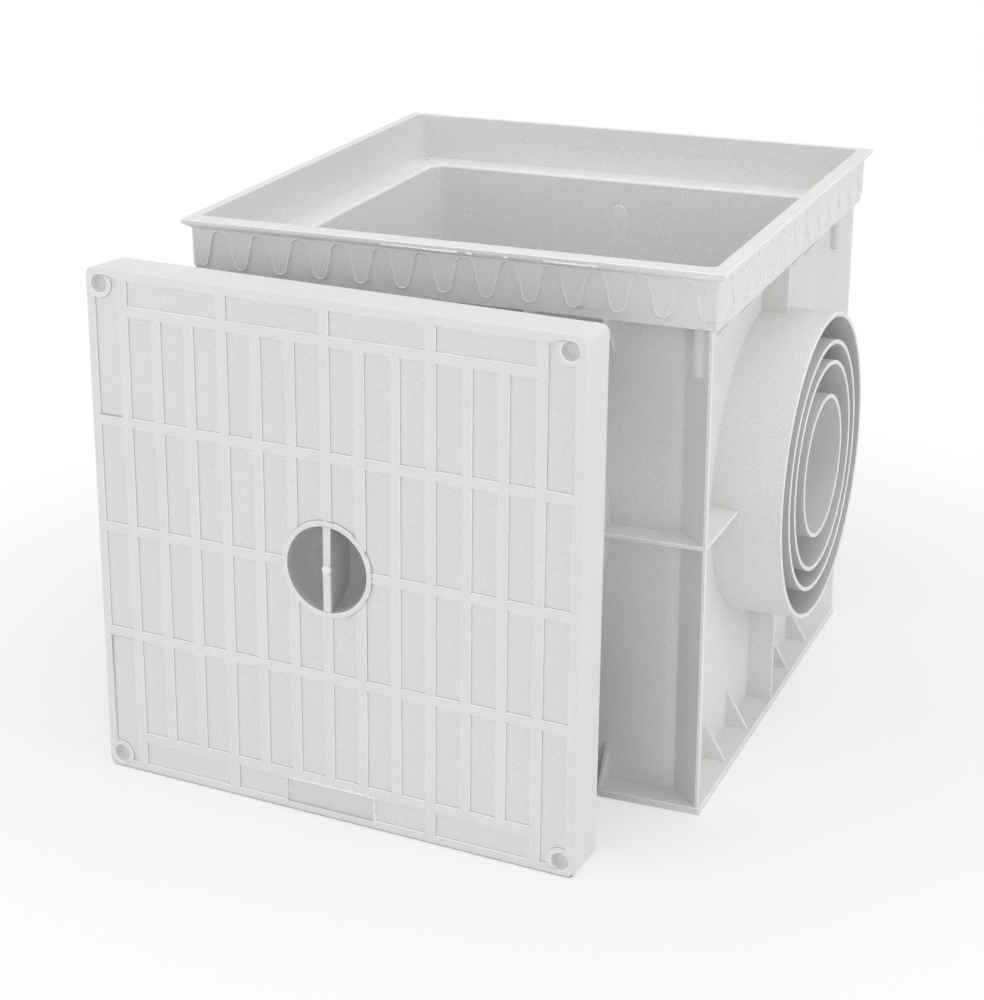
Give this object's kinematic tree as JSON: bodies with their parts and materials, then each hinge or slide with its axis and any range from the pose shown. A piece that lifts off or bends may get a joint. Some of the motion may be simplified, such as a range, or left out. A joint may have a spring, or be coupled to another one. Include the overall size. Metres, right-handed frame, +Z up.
{
  "type": "inspection pit",
  "caption": "Square moulded plastic inspection pit with concentric pipe tubes on its sides, a ledged rim and a lift-off ribbed cover with a sunk grip, stood on edge in front.",
  "frame": {"origin": "middle of the underside of the chamber's base, on the ground", "axes": "+X to the right along the front, +Y to the back, +Z up; the cover stands on the -Y side"},
  "size_m": [0.4839, 0.5552, 0.4222],
  "materials": {
    "chamber_grey": "matt moulded polypropylene, pale grey",
    "cover_grey": "matt moulded polypropylene, pale grey, a little lighter than the chamber"
  },
  "bodies": {
    "root": {"chamber": "chamber_grey", "cover": "cover_grey"}
  },
  "joints": []
}
